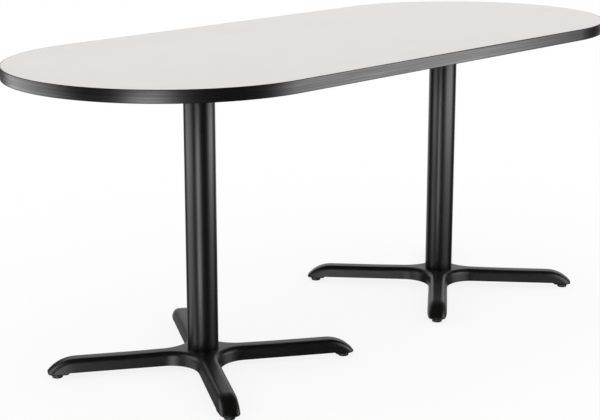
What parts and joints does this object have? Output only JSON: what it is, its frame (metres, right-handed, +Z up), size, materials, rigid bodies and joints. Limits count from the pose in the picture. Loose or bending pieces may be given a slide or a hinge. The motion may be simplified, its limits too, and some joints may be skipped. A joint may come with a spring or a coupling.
{
  "type": "cafe table",
  "caption": "Racetrack cafe table: off-white laminate top with black edge band on black tube columns, each on a cast X-base with screw-in levelling glides.",
  "frame": {"origin": "on the floor under the middle of the top, at the level of the feet screwed fully in", "axes": "+X along the length of the top towards the end farther from the camera, +Z up"},
  "size_m": [1.8288, 0.762, 0.7366],
  "materials": {
    "laminate": "satin off-white laminate",
    "particle_board": "raw particle board",
    "backer": "matt brown phenolic sheet",
    "edge_vinyl": "satin black vinyl",
    "black_casting": "satin black powder coat on cast iron",
    "black_tube": "satin black powder coat on steel",
    "zinc_steel": "bright zinc plate",
    "nylon": "matt black nylon"
  },
  "bodies": {
    "table": {"top_laminate": "laminate", "core_panel": "particle_board", "backer_sheet": "backer", "edge_band": "edge_vinyl", "left_x_base": "black_casting", "left_column": "black_tube", "left_tie_rod": "zinc_steel", "left_lower_washer": "zinc_steel", "left_lock_washer": "zinc_steel", "left_lower_nut": "zinc_steel", "left_upper_washer": "zinc_steel", "left_upper_nut": "zinc_steel", "left_spider": "black_casting", "left_spider_screws": "zinc_steel", "right_x_base": "black_casting", "right_column": "black_tube", "right_tie_rod": "zinc_steel", "right_lower_washer": "zinc_steel", "right_lock_washer": "zinc_steel", "right_lower_nut": "zinc_steel", "right_upper_washer": "zinc_steel", "right_upper_nut": "zinc_steel", "right_spider": "black_casting", "right_spider_screws": "zinc_steel"},
    "left_glide_foot_1": {"left_glide_foot_1": "nylon"},
    "left_glide_stem_1": {"left_glide_stem_1": "zinc_steel"},
    "left_glide_foot_2": {"left_glide_foot_2": "nylon"},
    "left_glide_stem_2": {"left_glide_stem_2": "zinc_steel"},
    "left_glide_foot_3": {"left_glide_foot_3": "nylon"},
    "left_glide_stem_3": {"left_glide_stem_3": "zinc_steel"},
    "left_glide_foot_4": {"left_glide_foot_4": "nylon"},
    "left_glide_stem_4": {"left_glide_stem_4": "zinc_steel"},
    "right_glide_foot_1": {"right_glide_foot_1": "nylon"},
    "right_glide_stem_1": {"right_glide_stem_1": "zinc_steel"},
    "right_glide_foot_2": {"right_glide_foot_2": "nylon"},
    "right_glide_stem_2": {"right_glide_stem_2": "zinc_steel"},
    "right_glide_foot_3": {"right_glide_foot_3": "nylon"},
    "right_glide_stem_3": {"right_glide_stem_3": "zinc_steel"},
    "right_glide_foot_4": {"right_glide_foot_4": "nylon"},
    "right_glide_stem_4": {"right_glide_stem_4": "zinc_steel"}
  },
  "joints": [
    {"name": "left_glide_height_1", "type": "slide", "parent": "table", "child": "left_glide_foot_1", "axis": [0, 0, -1], "range_m": [0, 0.008]},
    {"name": "left_glide_turn_1", "type": "hinge", "parent": "left_glide_foot_1", "child": "left_glide_stem_1", "pos_m": [-0.26199, 0.28191, 0], "axis": [0, 0, -1], "range_deg": [0, 2042]},
    {"name": "left_glide_height_2", "type": "slide", "parent": "table", "child": "left_glide_foot_2", "axis": [0, 0, -1], "range_m": [0, 0.008]},
    {"name": "left_glide_turn_2", "type": "hinge", "parent": "left_glide_foot_2", "child": "left_glide_stem_2", "pos_m": [-0.73911, 0.19521, 0], "axis": [0, 0, -1], "range_deg": [0, 2042]},
    {"name": "left_glide_height_3", "type": "slide", "parent": "table", "child": "left_glide_foot_3", "axis": [0, 0, -1], "range_m": [0, 0.008]},
    {"name": "left_glide_turn_3", "type": "hinge", "parent": "left_glide_foot_3", "child": "left_glide_stem_3", "pos_m": [-0.65241, -0.28191, 0], "axis": [0, 0, -1], "range_deg": [0, 2042]},
    {"name": "left_glide_height_4", "type": "slide", "parent": "table", "child": "left_glide_foot_4", "axis": [0, 0, -1], "range_m": [0, 0.008]},
    {"name": "left_glide_turn_4", "type": "hinge", "parent": "left_glide_foot_4", "child": "left_glide_stem_4", "pos_m": [-0.17529, -0.19521, 0], "axis": [0, 0, -1], "range_deg": [0, 2042]},
    {"name": "right_glide_height_1", "type": "slide", "parent": "table", "child": "right_glide_foot_1", "axis": [0, 0, -1], "range_m": [0, 0.008]},
    {"name": "right_glide_turn_1", "type": "hinge", "parent": "right_glide_foot_1", "child": "right_glide_stem_1", "pos_m": [0.73141, 0.20588, 0], "axis": [0, 0, -1], "range_deg": [0, 2042]},
    {"name": "right_glide_height_2", "type": "slide", "parent": "table", "child": "right_glide_foot_2", "axis": [0, 0, -1], "range_m": [0, 0.008]},
    {"name": "right_glide_turn_2", "type": "hinge", "parent": "right_glide_foot_2", "child": "right_glide_stem_2", "pos_m": [0.25132, 0.27421, 0], "axis": [0, 0, -1], "range_deg": [0, 2042]},
    {"name": "right_glide_height_3", "type": "slide", "parent": "table", "child": "right_glide_foot_3", "axis": [0, 0, -1], "range_m": [0, 0.008]},
    {"name": "right_glide_turn_3", "type": "hinge", "parent": "right_glide_foot_3", "child": "right_glide_stem_3", "pos_m": [0.18299, -0.20588, 0], "axis": [0, 0, -1], "range_deg": [0, 2042]},
    {"name": "right_glide_height_4", "type": "slide", "parent": "table", "child": "right_glide_foot_4", "axis": [0, 0, -1], "range_m": [0, 0.008]},
    {"name": "right_glide_turn_4", "type": "hinge", "parent": "right_glide_foot_4", "child": "right_glide_stem_4", "pos_m": [0.66308, -0.27421, 0], "axis": [0, 0, -1], "range_deg": [0, 2042]}
  ],
  "couplings": [
    {"joint": "left_glide_turn_1", "follows": "left_glide_height_1", "rad_per_m": 4452.7},
    {"joint": "left_glide_turn_2", "follows": "left_glide_height_2", "rad_per_m": 4452.7},
    {"joint": "left_glide_turn_3", "follows": "left_glide_height_3", "rad_per_m": 4452.7},
    {"joint": "left_glide_turn_4", "follows": "left_glide_height_4", "rad_per_m": 4452.7},
    {"joint": "right_glide_turn_1", "follows": "right_glide_height_1", "rad_per_m": 4452.7},
    {"joint": "right_glide_turn_2", "follows": "right_glide_height_2", "rad_per_m": 4452.7},
    {"joint": "right_glide_turn_3", "follows": "right_glide_height_3", "rad_per_m": 4452.7},
    {"joint": "right_glide_turn_4", "follows": "right_glide_height_4", "rad_per_m": 4452.7}
  ]
}
